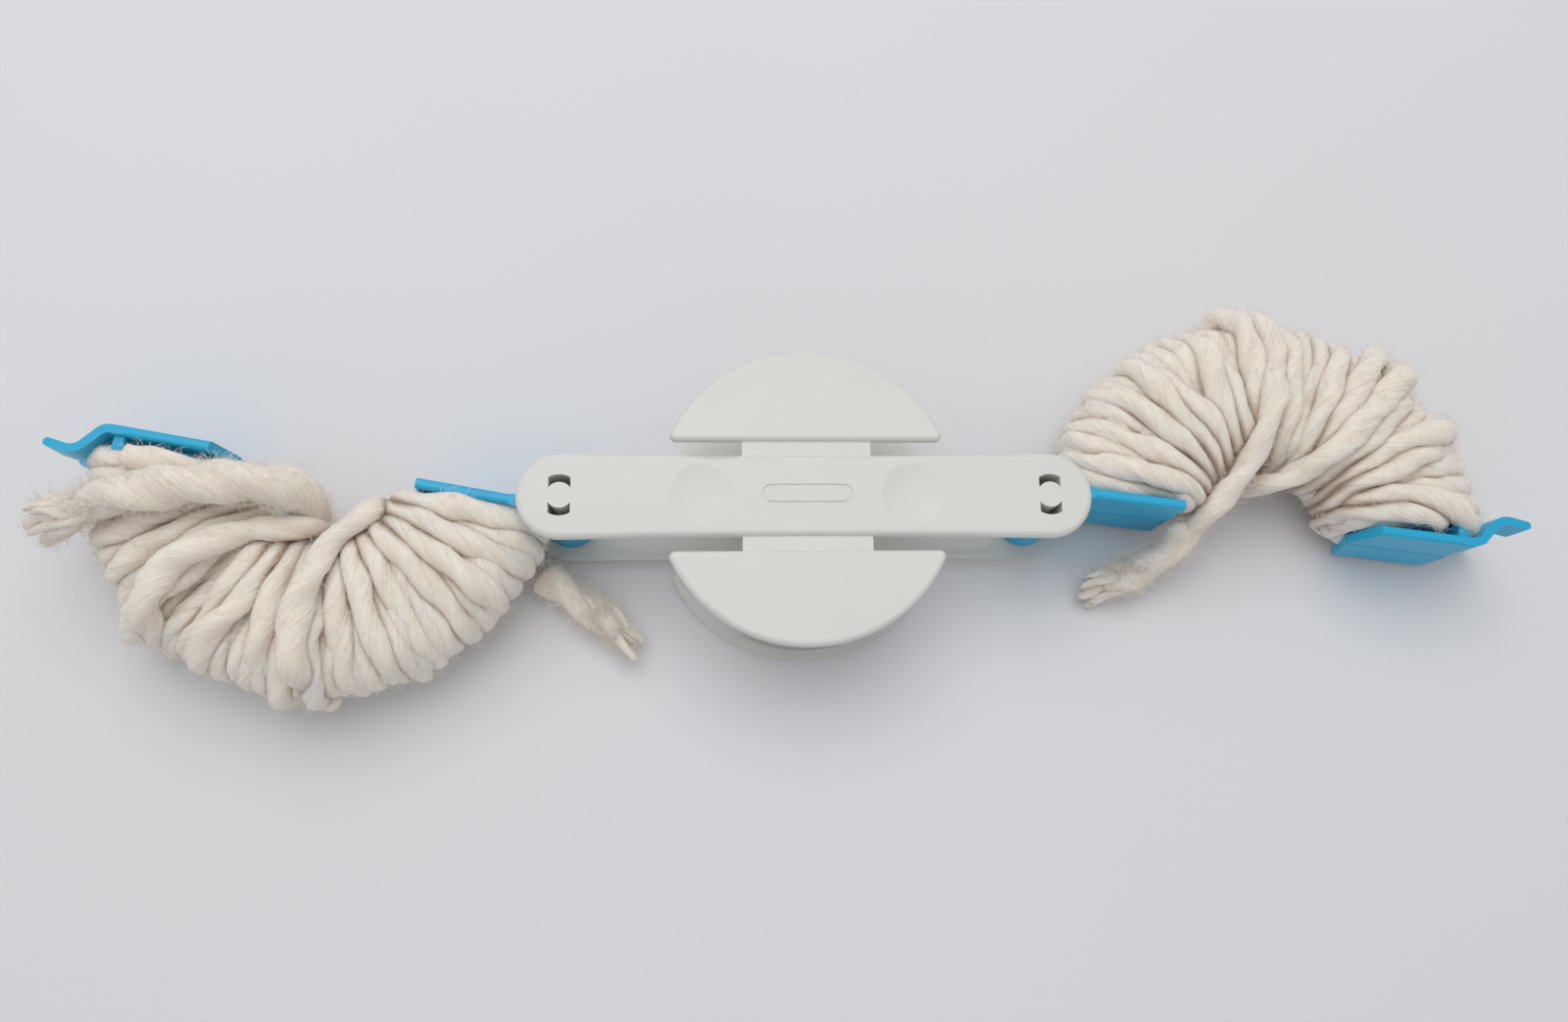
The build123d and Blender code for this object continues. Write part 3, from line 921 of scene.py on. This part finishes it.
def frayed(mesh, line, radius, seed):
    """Adds a strand that ends as a brush of short soft slivers."""
    line = np.asarray(line, float)
    count = len(line)
    strand = line[: int(count * STRAND_STOPS_AT)]
    mesh.add(strand, radius, seed, flatness=FRAYED_FLATNESS, taper=FRAYED_TAPER)
    rng = np.random.default_rng(seed)
    for number in range(SLIVERS):
        first = count - int(rng.uniform(*SLIVER_STARTS))
        sliver = line[first : count - int(rng.uniform(*SLIVER_STOPS))].copy()
        gone = np.linspace(0, 1, len(sliver))[:, None]
        aside = np.array(LESS_UPWARD) * rng.normal(0, 1, 3)
        aside *= radius * SLIVER_ASIDE / np.linalg.norm(aside)
        wave = rng.normal(0, SLIVER_WAVE, 3) * np.sin(gone * SLIVER_WAVE_TURN)
        sliver += aside * (1 + SLIVER_SPREADS * gone) + wave
        sliver[:, 2] = np.maximum(sliver[:, 2], radius * SLIVER_LOWEST)
        mesh.add(
            sliver, radius * rng.uniform(*SLIVER_THICKNESS), seed + 3 * number + 1,
            flatness=SLIVER_FLATNESS, taper=SLIVER_TAPER,
        )


# %% [markdown]
# ## The free end
# The left winding ends in a free strand that leaves the hollow, lies over the winding and
# pokes out past the arm. It is a real length of yarn, so its line is a smooth spline that
# follows the points below. It runs close to the rigid model's tube, but starts deeper in
# the hollow.

# %% The left free end
TAIL_ROUTE = (
    (-97.5, -2.8, 11.0), (-95.4, 0.0, 19.0), (-98.5, 1.8, 26.8), (-107.0, 1.8, 29.2),
    (-120.0, 0.4, 29.4), (-133.0, -1.7, 27.4), (-144.5, -5.0, 21.0),
)
TAIL_DIAMETER = 7.0
TAIL_SEED = 21
TAIL_FIBRES = {"seed": 5, "thickly": 2.2, "longer": 1.2}
SPLINE_ORDER = 3
SPLINE_STEPS = 12


def spline_through(route):
    """Points along a smooth spline that a route in mm guides, in mm."""
    curve = bpy.data.curves.new("route", "CURVE")
    curve.dimensions = "3D"
    curve.resolution_u = SPLINE_STEPS
    spline = curve.splines.new("NURBS")
    spline.points.add(len(route) - 1)
    for control, point in zip(spline.points, route):
        control.co = (*(Vector(point) * MM), 1.0)
    spline.order_u = SPLINE_ORDER
    spline.use_endpoint_u = True
    route_object = bpy.data.objects.new("route", curve)
    mesh = bpy.data.meshes.new_from_object(route_object)
    line = np.array([v.co for v in mesh.vertices]) / MM
    bpy.data.meshes.remove(mesh)
    bpy.data.objects.remove(route_object)
    return line


tail_line = spline_through(TAIL_ROUTE)
tail_strand = StrandMesh()
frayed(tail_strand, resampled(tail_line, RING_STEP), TAIL_DIAMETER / 2, TAIL_SEED)
tail = tail_strand.build("left_loose_end", Matrix.Scale(MM, 4), roving, crowded=False)
goes_with_arm(tail, "left", node="left_yarn_end_tail")
tail_fuzz = loose_fibres(tail, "left_loose_end_fibres", **TAIL_FIBRES)
goes_with_arm(tail_fuzz, "left")

# %% The two short first ends
FIRST_ENDS = {
    "left": (
        (-53.4, -11.2, 4.6), (-48.4, -15.0, 4.4), (-42.0, -19.5, 4.3), (-34.8, -26.6, 4.2),
    ),
    "right": (
        (79.5, -3.2, 13.0), (77.0, -7.4, 9.0), (70.5, -11.8, 5.0), (60.0, -16.2, 3.9),
    ),
}
FIRST_END_RADIUS = 3.0
FIRST_END_SEED = {"left": 31, "right": 37}
FIRST_END_FIBRES = {"seed": 8, "thickly": 3.2, "longer": 1.4}
for side, route in FIRST_ENDS.items():
    tuft = StrandMesh()
    frayed(tuft, resampled(route, RING_STEP), FIRST_END_RADIUS, FIRST_END_SEED[side])
    loose = tuft.build(f"{side}_first_end", Matrix.Scale(MM, 4), roving, crowded=False)
    goes_with_arm(
        loose, side, node=f"{side}_yarn_start_tail"
    )
    loose_fuzz = loose_fibres(loose, f"{side}_first_end_fibres", **FIRST_END_FIBRES)
    goes_with_arm(loose_fuzz, side)
